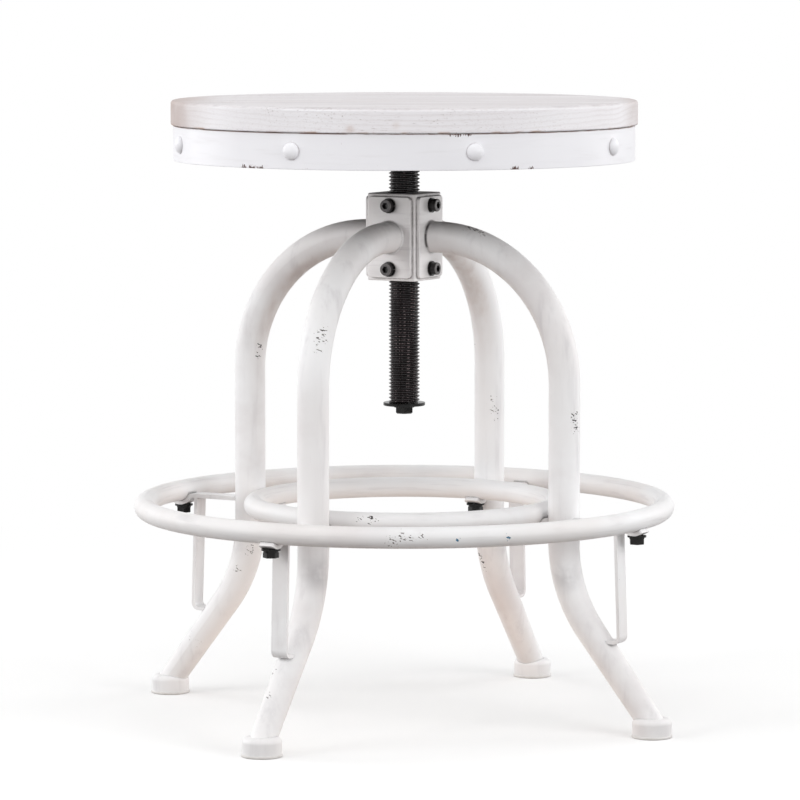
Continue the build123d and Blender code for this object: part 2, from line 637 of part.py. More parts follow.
# Rings, with the bolts that hold them in their saddles
RINGS = {"outer": OUTER_RING_RADIUS, "inner": INNER_RING_RADIUS}
nut_bore = RING_TUBE / 2 - RING_WALL
nut_collar_z = RING_Z - math.sqrt(nut_bore**2 - (RING_NUT_COLLAR_DIAMETER / 2) ** 2) + WELD_GAP
lock_ring = split_washer(
    RING_LOCK_DIAMETER, RING_BOLT_DIAMETER + 2 * BOLT_HOLE_CLEARANCE, RING_LOCK_THICKNESS
)
for name, radius in RINGS.items():
    with BuildPart() as ring:
        with BuildSketch(Plane.XZ):
            with Locations((radius, RING_Z)):
                Circle(RING_TUBE / 2)
                Circle(RING_TUBE / 2 - RING_WALL, mode=Mode.SUBTRACT)
        revolve(axis=Axis.Z)
        with Locations((0, 0, RING_UNDER_Z)):
            with PolarLocations(radius, LEG_COUNT):
                Cylinder(
                    RING_NUT_DIAMETER / 2 + BOLT_FIT,
                    RING_TUBE,
                    mode=Mode.SUBTRACT,
                )
    ring.part.label = f"{name}_ring"
    export_step(ring.part, f"parts/{name}_ring.step")

    with BuildPart() as ring_nuts:
        with PolarLocations(radius, LEG_COUNT):
            with Locations((0, 0, RING_NUT_Z)):
                Cylinder(RING_NUT_DIAMETER / 2, RING_NUT_HEIGHT, align=ON_FLOOR)
            with Locations((0, 0, nut_collar_z)):
                Cylinder(RING_NUT_COLLAR_DIAMETER / 2, RING_NUT_COLLAR_THICKNESS, align=ON_FLOOR)
            with Locations((0, 0, RING_NUT_Z)):
                Cylinder(
                    RING_BOLT_DIAMETER / 2 + BOLT_FIT,
                    RING_NUT_HEIGHT,
                    align=ON_FLOOR,
                    mode=Mode.SUBTRACT,
                )
    ring_nuts.part.label = f"{name}_ring_nuts"
    export_step(ring_nuts.part, f"parts/{name}_ring_nuts.step")

    with BuildPart() as ring_washers:
        with Locations((0, 0, SADDLE_UNDER_Z - RING_WASHER_THICKNESS)):
            with PolarLocations(radius, LEG_COUNT):
                Cylinder(RING_WASHER_DIAMETER / 2, RING_WASHER_THICKNESS, align=ON_FLOOR)
                Cylinder(
                    RING_BOLT_HOLE, RING_WASHER_THICKNESS, align=ON_FLOOR, mode=Mode.SUBTRACT
                )
    ring_washers.part.label = f"{name}_ring_washers"
    export_step(ring_washers.part, f"parts/{name}_ring_washers.step")

    with BuildPart() as ring_lock_washers:
        with Locations((0, 0, RING_LOCK_Z)):
            with PolarLocations(radius, LEG_COUNT):
                add(lock_ring)
    ring_lock_washers.part.label = f"{name}_ring_lock_washers"
    export_step(ring_lock_washers.part, f"parts/{name}_ring_lock_washers.step")

    with BuildPart() as ring_bolts:
        with BuildSketch(Plane.XY.offset(RING_LOCK_Z)):
            with PolarLocations(radius, LEG_COUNT):
                RegularPolygon(RING_BOLT_FLATS / 2, 6, major_radius=False)
        extrude(amount=-RING_BOLT_HEAD_HEIGHT)
        chamfer(ring_bolts.faces().group_by(Axis.Z)[0].edges(), STOP_WASHER_CHAMFER)
        with BuildSketch(Plane.XY.offset(RING_LOCK_Z)):
            with PolarLocations(radius, LEG_COUNT):
                Circle(RING_BOLT_DIAMETER / 2)
        extrude(amount=RING_NUT_Z + RING_NUT_HEIGHT - RING_LOCK_Z)
    ring_bolts.part.label = f"{name}_ring_bolts"
    export_step(ring_bolts.part, f"parts/{name}_ring_bolts.step")
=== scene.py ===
import math

import bmesh
import bpy
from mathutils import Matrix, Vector


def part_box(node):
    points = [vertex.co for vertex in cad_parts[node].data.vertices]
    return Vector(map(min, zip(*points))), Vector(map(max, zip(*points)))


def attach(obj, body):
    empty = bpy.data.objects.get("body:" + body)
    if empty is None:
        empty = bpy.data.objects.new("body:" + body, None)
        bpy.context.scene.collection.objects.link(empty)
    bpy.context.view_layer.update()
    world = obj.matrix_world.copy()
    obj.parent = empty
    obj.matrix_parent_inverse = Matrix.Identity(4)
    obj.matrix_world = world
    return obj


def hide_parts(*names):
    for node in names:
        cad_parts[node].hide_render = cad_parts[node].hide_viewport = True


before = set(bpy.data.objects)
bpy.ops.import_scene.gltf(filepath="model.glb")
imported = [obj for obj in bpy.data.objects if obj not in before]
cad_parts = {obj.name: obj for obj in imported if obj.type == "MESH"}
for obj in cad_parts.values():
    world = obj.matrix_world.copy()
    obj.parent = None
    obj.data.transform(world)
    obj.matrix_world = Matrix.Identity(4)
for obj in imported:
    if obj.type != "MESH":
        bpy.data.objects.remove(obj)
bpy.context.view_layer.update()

# A swivel stool: whitewashed seat in a painted steel band, a black lifting screw, and a frame of
# arched tubes and rings in worn white paint. Metres, with the floor at z = 0.

MM = 0.001
UP = Vector((0, 0, 1))


def tone(red, green, blue):
    """A linear colour from display values out of 255."""
    levels = [level / 255 for level in (red, green, blue)]
    linear = [v / 12.92 if v < 0.04045 else ((v + 0.055) / 1.055) ** 2.4 for v in levels]
    return (*linear, 1.0)


# Camera at the photograph's angle
CAMERA_TURN = math.radians(29.32)
CAMERA_SIDE = -0.00409
CAMERA_BACK = 4.43394
CAMERA_HEIGHT = 0.74954
CAMERA_PITCH = 0.0994
CAMERA_LENS = 207.2
CAMERA_SENSOR = 36.0
CAMERA_REACH = 60.0
VIEW_RIGHT = Vector((math.cos(CAMERA_TURN), math.sin(CAMERA_TURN), 0))
VIEW_AHEAD = Vector((-math.sin(CAMERA_TURN), math.cos(CAMERA_TURN), 0))

# Softboxes: name, place to the right, ahead and up, width, height, power in watts
LAMPS = [
    ("front_left_softbox", (-5.48, -2.44, 2.0), 3.8, 2.8, 146.0),
    ("front_right_softbox", (4.46, -4.01, 2.0), 3.8, 2.8, 148.0),
    ("back_left_softbox", (-4.72, 2.2, 1.7), 3.2, 3.2, 78.0),
    ("back_right_softbox", (4.72, 2.2, 1.7), 3.2, 3.2, 72.0),
    ("top_softbox", (0.0, -0.6, 2.8), 2.2, 2.2, 13.0),
]
LAMP_AIM = Vector((0, 0, 0.35))

# The room around the stool: its colour, its strength where it is seen, and as light
ROOM_WHITE = (1, 1, 1, 1)
ROOM_SEEN = 1.0
ROOM_LIGHT = 0.57

# The floor, and the distances from its middle over which it fades to white, the light that it
# throws back goes from warm to grey, and then from grey to pale
FLOOR_HALF = 9.0
FLOOR_GLOW = 0.18
FLOOR_FADE = (0.6, 1.5)
BOUNCE_NEAR = (0.16, 0.31)
BOUNCE_FAR = (0.9, 2.0)
FLOOR_WHITE = (tone(236, 236, 236), tone(239, 239, 239))
BOUNCE_WARM = tone(252, 232, 218)
BOUNCE_GREY = tone(112, 108, 106)
BOUNCE_PALE = tone(172, 168, 167)

# Lifting screw
THREAD_DIAMETER = 30.0 * MM
THREAD_PITCH = 3.5 * MM
THREAD_DEPTH = 1.9 * MM
THREAD_STEPS = 40
THREAD_SPARE_TURNS = 2
THREAD_SHARP = math.radians(28)
# Share of a pitch and share of the depth at each corner of one ridge
THREAD_RIDGE = [
    (0.00, 0.00),
    (0.20, 0.00),
    (0.26, 0.10),
    (0.53, 0.90),
    (0.58, 1.00),
    (0.68, 1.00),
    (0.73, 0.90),
    (0.97, 0.10),
]

# White paint, clean and faded, of the legs, the rings and the hub
LEG_WHITE = (tone(247, 247, 248), tone(241, 239, 239))
RING_WHITE = (tone(242, 242, 243), tone(238, 235, 234))
HUB_WHITE = (tone(243, 242, 243), tone(237, 235, 235))

# Streaks in that paint, in cells per metre: along the axes, or along and across a hoop
LEG_STREAKS = (75, 75, 9)
RING_STREAKS = (16, 260)
HUB_STREAKS = (20, 20, 380)

# What lies on the paint, and the shade painted on it under the seat, on the bends and in the corners
STREAK_GREY = tone(190, 186, 190)
SMEAR_GREY = tone(208, 199, 199)
# Tan glaze with painted warm shade where the bends look down and inward, between these heights
BEND_TAN_AND_SHADE = tone(206, 188, 178)
BEND_HEIGHTS = (0.28, 0.42)
INWARD_GAIN = -0.75
# Grey of the patches at the bends of the legs
BEND_PATCH_GREY = tone(160, 157, 160)
# Painted shade of the seat: its grey, the top of the hub it centres on, and its reach
SEAT_SHADE_GREY = tone(92, 89, 90)
HUB_TOP = (0.0, 0.0, 0.505)
SEAT_SHADE_REACH = 0.145
# Soiling with painted shade in tight corners, by how deep a corner is
CORNER_DIRT_AND_SHADE = tone(74, 68, 66)
PAINT_CREASE = 4 * MM
CREASE_SAMPLES = 6

# Painted shadow along the front side of the right leg's weld. The ranges count from its middle.
WELD_SHADOW_BLACK = tone(54, 49, 50)
WELD_PLACE = (31.8 * MM, 0.0, 466.5 * MM)
WELD_RADIUS = 15.0 * MM
WELD_WIDTH = (0.3 * MM, 2.3 * MM)
WELD_FRONT = (-11.0 * MM, -3.0 * MM)
WELD_LOW = (-12.5 * MM, -8.0 * MM)

# Chips in the paint: strokes that lean, their fineness along and across, how far a cluster
# spreads and how much it adds, and the levels at which the rim and the bare metal show
WEAR_LEAN = math.radians(-20)
WEAR_ALONG = VIEW_RIGHT * math.cos(WEAR_LEAN) + UP * math.sin(WEAR_LEAN)
WEAR_ACROSS = UP * math.cos(WEAR_LEAN) - VIEW_RIGHT * math.sin(WEAR_LEAN)
CHIP_STROKES = (310.0, 760.0)
CHIP_SPREAD = 1.5
CHIP_GAIN = 0.306
CHIP_RIM = (0.845, 0.875)
CHIP_BARE = (0.862, 0.890)
CHIP_RIM_TAN = tone(150, 128, 116)
BARE_STEEL = (tone(52, 42, 39), tone(60, 58, 60))
PRIMER_BLUE = tone(58, 112, 142)

# Clusters of chipped paint on the frame: place, reach in metres and strength
FRAME_CHIPS = [
    ((0.0106, -0.1700, 0.3948), 0.007, 0.8),
    ((0.0105, -0.1737, 0.3867), 0.010, 1.0),
    ((0.0103, -0.1770, 0.3785), 0.010, 1.0),
    ((0.0098, -0.1799, 0.3712), 0.008, 0.9),
    ((-0.1596, -0.0080, 0.3526), 0.008, 1.0),
    ((-0.1608, -0.0080, 0.3446), 0.008, 0.9),
    ((-0.1677, -0.0110, 0.1510), 0.008, 0.9),
    ((-0.1825, -0.0143, 0.1309), 0.008, 0.8),
    ((0.0735, -0.0046, 0.4765), 0.008, 1.2),
    ((0.0808, -0.0040, 0.4748), 0.007, 1.1),
    ((0.0870, -0.0034, 0.4730), 0.009, 1.2),
    ((0.1878, -0.0064, 0.3038), 0.008, 1.0),
    ((0.1883, -0.0052, 0.2970), 0.008, 1.0),
    ((0.1887, -0.0039, 0.2902), 0.008, 1.0),
    ((0.0101, 0.1632, 0.2957), 0.007, 0.8),
    ((0.0108, 0.1639, 0.2826), 0.010, 1.0),
    ((0.0115, 0.1648, 0.2735), 0.007, 0.8),
    ((-0.0076, 0.1692, 0.1348), 0.006, 1.1),
    ((-0.0060, 0.1704, 0.1287), 0.006, 1.1),
    ((-0.0045, 0.1719, 0.1236), 0.006, 1.0),
    ((-0.0064, -0.2360, 0.0736), 0.005, 1.0),
    ((-0.0030, -0.2526, 0.0537), 0.006, 0.8),
    ((0.1147, -0.2350, 0.2039), 0.010, 0.9),
    ((0.1204, -0.2321, 0.2040), 0.009, 0.9),
    ((0.1261, -0.2291, 0.2068), 0.010, 1.0),
    ((0.1324, -0.2254, 0.2077), 0.010, 0.9),
    ((0.1417, -0.2196, 0.2076), 0.008, 0.9),
    ((0.1678, -0.2007, 0.2043), 0.004, 1.1),
    ((0.2022, -0.1660, 0.2044), 0.005, 1.15),
    ((0.0377, -0.1501, 0.2092), 0.008, 0.9),
    ((0.0476, -0.1467, 0.2104), 0.008, 1.0),
    ((-0.1900, 0.0090, 0.2700), 0.012, 0.9),
    ((0.0060, 0.1890, 0.3300), 0.012, 0.9),
    ((-0.2000, 0.1530, 0.2060), 0.012, 0.9),
]
# Where the chips of the outer ring show blue-grey primer, and grey patches at the bends of the legs
COOL_CHIPS = [((0.1678, -0.2007, 0.2043), 0.014, 1.0), ((0.2022, -0.1660, 0.2044), 0.016, 1.0)]
BEND_PATCHES = [
    ((0.0108, -0.1860, 0.1597), 0.023, 0.9),
    ((0.1840, -0.0134, 0.1487), 0.023, 0.8),
    ((0.0134, 0.1840, 0.1487), 0.023, 0.8),
    ((-0.1860, -0.0108, 0.1597), 0.023, 0.6),
]

# Seat band: its tones, its chips, and the depths of the chipped edges and of the rusty one
BAND_WHITE = (tone(246, 246, 250), tone(239, 239, 243))
BAND_STREAK = tone(214, 211, 212)
BAND_RUST = tone(120, 82, 66)
# Soiling with painted shade in the band's corners and round its rivets
BAND_DIRT_AND_SHADE = tone(128, 112, 106)
BAND_CREASE = 5 * MM
BAND_EDGE = 6.0 * MM
BAND_RUST_DEPTHS = (1.2 * MM, 0.1 * MM)
BAND_CHIP_GAIN = 0.36
BAND_CHIP_RIM = (0.75, 0.78)
BAND_CHIP_BARE = (0.77, 0.80)
BAND_RIM_TAN = tone(168, 140, 128)
BAND_BARE_STEEL = tone(74, 46, 42)
# Clusters of chips along the lower edge of the band, and along its upper edge
BAND_CHIPS = [
    ((-0.0488, -0.2167, 0.5405), 0.008, 1.0),
    ((-0.0390, -0.2187, 0.5405), 0.010, 1.2),
    ((-0.0294, -0.2202, 0.5405), 0.008, 1.1),
    ((0.1854, -0.1224, 0.5405), 0.009, 1.3),
    ((0.1945, -0.1073, 0.5405), 0.008, 0.9),
    ((0.0600, 0.2140, 0.5405), 0.012, 1.1),
    ((-0.2130, 0.0640, 0.5405), 0.010, 1.0),
]
BAND_TOP_CHIPS = [
    ((0.1440, -0.1692, 0.5735), 0.009, 0.9),
    ((0.1495, -0.1644, 0.5735), 0.011, 1.1),
    ((0.1560, -0.1582, 0.5735), 0.009, 1.0),
    ((-0.1500, 0.1640, 0.5735), 0.012, 0.9),
]

# Seat board: its grain runs across the view, and its growth rings are far from the log's heart
BOARD_TURN = -CAMERA_TURN
LOG_DEPTH = 2.2
RINGS_PER_METRE = 210.0
RING_SWAY = 0.014
WOOD_SIDE = (tone(244, 243, 246), tone(239, 237, 240))
WOOD_TOP = (tone(224, 221, 223), tone(206, 202, 204))
WOOD_TOP_DEPTHS = (3.0 * MM, 0.6 * MM)
WOOD_FIBRE = tone(199, 190, 189)
WOOD_RING = tone(190, 178, 175)
WOOD_PORE = tone(126, 106, 99)
WOOD_END = tone(184, 169, 164)
WOOD_BARE = tone(176, 134, 104)
WOOD_BARE_EDGE = 2.2 * MM
# Tan spots on the rim of the board
WOOD_SPOTS = [((0.1031, -0.1994, 0.5815), 0.006, 0.20), ((0.0637, -0.2152, 0.5775), 0.007, 0.38)]

# Core of the seat
PLY_STAIN = (tone(84, 68, 56), tone(62, 50, 42))
PLY_STRIPE = tone(128, 100, 74)
PLY_TURN = 0.4
PLY_FACE = (0.3 * MM, 0.6 * MM)
PLIES_PER_METRE = 340.0

# Steel and plastic
OXIDE_BLACK = (tone(13, 12, 12), tone(24, 22, 22))
OXIDE_DUST = tone(92, 84, 80)
OXIDE_CREASE = 3 * MM
SCREW_BLACK = (tone(20, 15, 16), tone(34, 27, 29))
# Painted glints on the crests of the thread, down to this depth below the crest
SCREW_GLINT = tone(132, 120, 121)
SCREW_CREST = 0.6 * MM
SOCKET_SIDE = (tone(20, 18, 19), tone(34, 31, 32))
# Painted reflection on the faces that look outward, and painted highlights round their rims
SOCKET_FACE_REFLECTION = (tone(92, 89, 90), tone(74, 71, 72))
SOCKET_RIM_HIGHLIGHT = tone(148, 144, 144)
# Painted shade in the sockets
SOCKET_HOLE_SHADE = tone(16, 14, 15)
SOCKET_CREASE = 4 * MM
ZINC_GREY = (tone(172, 172, 170), tone(142, 142, 144))
GLIDE_WHITE = (tone(233, 231, 229), tone(220, 217, 214))
GLIDE_SCUFF = tone(160, 153, 148)
GLIDE_SCUFF_HEIGHT = 1.2 * MM

# Sockets of Blender's mix node for colours, which it tells apart only by their index
MIX_SHARE, MIX_FIRST, MIX_SECOND, MIX_RESULT = 0, 6, 7, 2


def add_node(tree, kind, inputs=None, **settings):
    """A new node in a tree, with its settings made and its inputs linked or set."""
    made = tree.nodes.new(kind)
    for name, value in settings.items():
        setattr(made, name, value)
    for socket, value in (inputs or {}).items():
        if isinstance(value, bpy.types.NodeSocket):
            tree.links.new(value, made.inputs[socket])
        else:
            made.inputs[socket].default_value = value
    return made


def seen_directly(tree):
    """One for rays that show the background: camera, glossy and transmission rays."""
    path = add_node(tree, "ShaderNodeLightPath")
    shown = path.outputs["Is Camera Ray"]
    for ray in ("Is Glossy Ray", "Is Transmission Ray"):
        inputs = {0: shown, 1: path.outputs[ray]}
        shown = add_node(tree, "ShaderNodeMath", inputs, operation="MAXIMUM").outputs[0]
    return shown


class Finish:
    """One material's node tree, with a method for each kind of node that the finishes use."""

    def __init__(self, name):
        self.material = bpy.data.materials.new(name)
        self.material.use_nodes = True
        self.tree = self.material.node_tree
        self.tree.nodes.clear()
        coordinates = self.node("ShaderNodeTexCoord")
        self.place = coordinates.outputs["Object"]
        self.facing = coordinates.outputs["Normal"]

    def node(self, kind, inputs=None, **settings):
        return add_node(self.tree, kind, inputs, **settings)

    # Numbers and vectors

    def math(self, operation, first, second=0.0):
        return self.node("ShaderNodeMath", {0: first, 1: second}, operation=operation).outputs[0]

    def product(self, first, *others):
        for other in others:
            first = self.math("MULTIPLY", first, other)
        return first

    def vector(self, operation, *values, result="Vector"):
        inputs = dict(enumerate(values))
        return self.node("ShaderNodeVectorMath", inputs, operation=operation).outputs[result]

    def measure(self, operation, *values):
        """A number from one or two vectors."""
        return self.vector(operation, *values, result="Value")

    def joined(self, *parts):
        """A vector from its coordinates."""
        return self.node("ShaderNodeCombineXYZ", dict(enumerate(parts))).outputs[0]

    def parts(self, place=None):
        """The three coordinates of a place."""
        return list(self.node("ShaderNodeSeparateXYZ", {0: place or self.place}).outputs)

    def length(self, first, second):
        """The length of a flat vector, from its two coordinates."""
        return self.measure("LENGTH", self.joined(first, second))

    def ramp(self, value, low, high, start=0.0, end=1.0):
        """A smooth step from start to end as the value goes from low to high."""
        inputs = {"Value": value, "From Min": low, "From Max": high, "To Min": start, "To Max": end}
        return self.node("ShaderNodeMapRange", inputs, interpolation_type="SMOOTHSTEP").outputs[0]

    # Where a point is and which way it looks

    def height(self):
        return self.parts()[2]

    def upward(self):
        """How far the surface looks up."""
        return self.parts(self.facing)[2]

    def outward(self):
        """How far the surface looks away from the upright axis."""
        flat = self.vector("MULTIPLY", self.place, (1, 1, 0))
        return self.measure("DOT_PRODUCT", self.facing, self.vector("NORMALIZE", flat))

    def inward(self):
        """How far the surface looks down and towards the upright axis."""
        return self.product(self.math("ADD", self.outward(), self.upward()), INWARD_GAIN)

    def turned(self, turn):
        """The place on the object, turned about the upright axis."""
        inputs = {"Vector": self.place, "Rotation": (0, 0, turn)}
        return self.node("ShaderNodeMapping", inputs).outputs[0]

    def mapped(self, stretch, turn=0.0):
        """The place on the object, turned about the upright axis and stretched."""
        return self.vector("MULTIPLY", self.turned(turn), stretch)

    def slanted(self, along, across):
        """The place in axes that lean with the strokes of the wear, scaled along and across them."""
        axes = (WEAR_ALONG * along, WEAR_ACROSS * across, VIEW_AHEAD * along)
        return self.joined(*(self.measure("DOT_PRODUCT", self.place, axis) for axis in axes))

    def around(self, along, across):
        """The place in axes that follow a hoop about the upright axis."""
        x, y, z = self.parts()
        thick = self.product(self.math("ADD", self.length(x, y), z), across)
        return self.joined(self.product(x, along), self.product(y, along), thick)

    def near(self, centre, reach, strength):
        """Strength at a centre, falling to nothing at its reach."""
        return self.ramp(self.measure("DISTANCE", self.place, centre), 0.0, reach, strength, 0.0)

    def clusters(self, places, spread=1.0):
        """The strongest of several soft spheres."""
        total = None
        for centre, reach, strength in places:
            one = self.near(centre, reach * spread, strength)
            total = one if total is None else self.math("MAXIMUM", total, one)
        return total

    def creases(self, distance):
        """Nothing on open faces, rising to one in tight corners."""
        inputs = {"Distance": distance}
        hollow = self.node("ShaderNodeAmbientOcclusion", inputs, samples=CREASE_SAMPLES)
        return self.math("SUBTRACT", 1.0, hollow.outputs["AO"])

    # Patterns

    def noise(self, scale=1.0, detail=2.0, rough=0.5, place=None):
        """Noise with a number of cells per metre, or in a place that is already stretched."""
        inputs = {"Vector": place or self.place, "Scale": scale, "Detail": detail, "Roughness": rough}
        return self.node("ShaderNodeTexNoise", inputs).outputs["Fac"]

    def grain(self, stretch, detail, rough, turn=0.0):
        """Noise with its own number of cells per metre along each axis."""
        return self.noise(detail=detail, rough=rough, place=self.mapped(stretch, turn))

    def patches(self, scale, low, high, start=0.0, end=1.0, detail=2.0, rough=0.5):
        """Soft patches where the noise goes from low to high."""
        return self.ramp(self.noise(scale, detail, rough), low, high, start, end)

    # Colours and surfaces

    def mix(self, share, first, second):
        """From the first colour to the second, by the sockets that the mix node has for colours."""
        inputs = {MIX_SHARE: share, MIX_FIRST: first, MIX_SECOND: second}
        return self.node("ShaderNodeMix", inputs, data_type="RGBA").outputs[MIX_RESULT]

    def blended(self, value, tones, low, high):
        """From one tone to another as the value goes from low to high."""
        return self.mix(self.ramp(value, low, high), *tones)

    def layer(self, base, colour, share, strength=None):
        """A colour over the base, on a share of it and at a strength."""
        if strength is not None:
            share = self.product(share, strength)
        return self.mix(share, base, colour)

    def bump(self, height, strength, depth, below=None):
        inputs = {"Height": height, "Strength": strength, "Distance": depth}
        if below is not None:
            inputs["Normal"] = below
        return self.node("ShaderNodeBump", inputs).outputs[0]

    def pit(self, share, strength, depth, below):
        """A bump that sinks where the share is one."""
        return self.bump(self.math("SUBTRACT", 1.0, share), strength, depth, below)

    def surface(self, **inputs):
        """The finished surface, from the principled shader's inputs."""
        named = {name.replace("_", " "): value for name, value in inputs.items()}
        self.output(self.node("ShaderNodeBsdfPrincipled", named).outputs[0])
        return self.material

    def output(self, shader):
        self.node("ShaderNodeOutputMaterial", {"Surface": shader})


def weld_shadow(make):
    """One along the front side of the right leg's weld, where its shadow is painted, falling to
    nothing beside it.
    """
    x, y, z = make.parts(make.vector("SUBTRACT", make.place, WELD_PLACE))
    beside = make.math("SUBTRACT", make.length(y, z), WELD_RADIUS)
    line = make.ramp(make.length(x, beside), *WELD_WIDTH, start=1.0, end=0.0)
    front = make.ramp(y, *WELD_FRONT, start=1.0, end=0.0)
    upper = make.ramp(z, *WELD_LOW)
    uneven = make.patches(scale=160.0, low=0.30, high=0.55, start=0.6, detail=3.0, rough=0.6)
    return make.product(line, front, upper, uneven)


def soiled(make, base, brushed, grime_and_shade):
    """Paint with tan, shaded bends, grey patches, the seat's shade painted near the hub, dirty
    corners with painted shade, and one painted shadow at a weld.
    """
    # Tan glaze with painted warm shade where the bends look down and towards the axis
    bend_tan_and_shade = make.ramp(make.inward(), low=0.25, high=0.95)
    bend_tan_and_shade = make.product(bend_tan_and_shade, make.ramp(make.height(), *BEND_HEIGHTS))
    bend_tan_and_shade = make.product(bend_tan_and_shade, make.ramp(brushed, low=0.30, high=0.62, start=0.35))
    base = make.layer(base, BEND_TAN_AND_SHADE, bend_tan_and_shade, strength=0.38)
    # Grey patches at the bends of the legs
    blotches = make.patches(scale=45.0, low=0.25, high=0.6, detail=3.0, rough=0.6)
    bend_patch = make.product(make.clusters(BEND_PATCHES), blotches)
    base = make.layer(base, BEND_PATCH_GREY, bend_patch, strength=0.55)
    # Painted shade of the seat on the faces near the hub that look up, in soft patches
    seat_shade = make.near(HUB_TOP, SEAT_SHADE_REACH, strength=1.0)
    seat_shade = make.product(seat_shade, make.ramp(make.upward(), low=0.10, high=1.0))
    clouds = make.patches(scale=38.0, low=0.25, high=0.6, start=0.6, detail=3.0, rough=0.6)
    base = make.layer(base, SEAT_SHADE_GREY, make.product(seat_shade, clouds), strength=0.88)
    # Soiling with painted shade, darker in tight corners
    dirt_and_shade = make.ramp(make.creases(PAINT_CREASE), low=0.20, high=0.55)
    dirt_and_shade = make.product(dirt_and_shade, make.patches(scale=90.0, low=0.25, high=0.6, start=0.4, detail=3.0))
    base = make.layer(base, CORNER_DIRT_AND_SHADE, dirt_and_shade, grime_and_shade)
    # Painted shadow along the front side of the right leg's weld
    return make.layer(base, WELD_SHADOW_BLACK, weld_shadow(make), strength=0.9)


def worn_paint(name, whites, streaks, grime_and_shade, sheen):
    """White paint with a faint glaze, dirty corners with painted shade and chips down to dark metal.
    """
    make = Finish(name)
    base = make.blended(make.noise(7.0, detail=3.0, rough=0.55), whites, low=0.36, high=0.66)
    strokes = make.mapped(streaks) if len(streaks) == 3 else make.around(*streaks)
    brushed = make.noise(detail=4.0, rough=0.6, place=strokes)
    base = make.layer(base, STREAK_GREY, make.ramp(brushed, low=0.50, high=0.80, end=0.36))
    smear = make.product(make.noise(16.0, detail=4.0, rough=0.6), make.noise(5.0))
    base = make.layer(base, SMEAR_GREY, make.ramp(smear, low=0.22, high=0.40, end=0.26))
    base = soiled(make, base, brushed, grime_and_shade)
    marks = make.noise(detail=1.5, place=make.slanted(*CHIP_STROKES))
    stray = make.patches(scale=24.0, low=0.66, high=0.80, end=0.62)
    density = make.math("MAXIMUM", make.clusters(FRAME_CHIPS, CHIP_SPREAD), stray)
    level = make.math("ADD", marks, make.product(density, CHIP_GAIN))
    chip = make.ramp(level, *CHIP_BARE)
    bare = make.blended(make.noise(30.0), BARE_STEEL, low=0.40, high=0.60)
    bare = make.layer(bare, PRIMER_BLUE, make.ramp(make.clusters(COOL_CHIPS), low=0.1, high=0.4))
    base = make.layer(base, CHIP_RIM_TAN, make.ramp(level, *CHIP_RIM), strength=0.5)
    base = make.layer(base, bare, chip)
    relief = make.bump(make.noise(650.0), strength=0.10, depth=0.2 * MM)
    relief = make.bump(brushed, strength=0.12, depth=0.3 * MM, below=relief)
    relief = make.pit(chip, strength=0.5, depth=0.15 * MM, below=relief)
    rough = make.ramp(brushed, low=0.3, high=0.8, start=0.42, end=0.60)
    finish = {"Metallic": sheen, "Specular_IOR_Level": 0.4}
    return make.surface(Base_Color=base, Roughness=rough, Normal=relief, **finish)


def band_paint(name):
    """Cool white paint on the seat band, chipped along its edges and rusty along the upper one."""
    low_z, high_z = (corner.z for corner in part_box("seat_band"))
    make = Finish(name)
    height = make.height()
    base = make.blended(make.noise(5.0, detail=3.0), BAND_WHITE, low=0.38, high=0.64)
    wiped = make.grain((14, 14, 160), detail=3.0, rough=0.6)
    base = make.layer(base, BAND_STREAK, make.ramp(wiped, low=0.5, high=0.8, end=0.22))
    rust = make.ramp(height, *(high_z - depth for depth in BAND_RUST_DEPTHS))
    rust = make.product(rust, make.patches(scale=55.0, low=0.30, high=0.62, start=0.15, detail=3.0))
    base = make.layer(base, BAND_RUST, rust)
    # Soiling with painted shade in the band's corners
    dirt_and_shade = make.ramp(make.creases(BAND_CREASE), low=0.16, high=0.55)
    dirt_and_shade = make.product(dirt_and_shade, make.patches(scale=60.0, low=0.40, high=0.62, detail=3.0))
    base = make.layer(base, BAND_DIRT_AND_SHADE, dirt_and_shade, strength=0.75)
    marks = make.grain((760, 760, 300), detail=3.0, rough=0.6)
    stray = make.patches(scale=26.0, low=0.56, high=0.70, end=0.55)
    lower = make.ramp(height, low_z, low_z + BAND_EDGE, start=1.0, end=0.0)
    lower = make.product(make.math("MAXIMUM", make.clusters(BAND_CHIPS), stray), lower)
    upper = make.ramp(height, high_z - BAND_EDGE, high_z)
    upper = make.product(make.clusters(BAND_TOP_CHIPS), upper)
    density = make.math("MAXIMUM", lower, upper)
    level = make.math("ADD", marks, make.product(density, BAND_CHIP_GAIN))
    chip = make.ramp(level, *BAND_CHIP_BARE)
    base = make.layer(base, BAND_RIM_TAN, make.ramp(level, *BAND_CHIP_RIM), strength=0.6)
    base = make.layer(base, BAND_BARE_STEEL, chip)
    relief = make.bump(make.noise(700.0), strength=0.08, depth=0.2 * MM)
    relief = make.pit(chip, strength=0.5, depth=0.15 * MM, below=relief)
    rough = make.ramp(wiped, low=0.3, high=0.8, start=0.34, end=0.52)
    return make.surface(Base_Color=base, Roughness=rough, Normal=relief, Specular_IOR_Level=0.45)


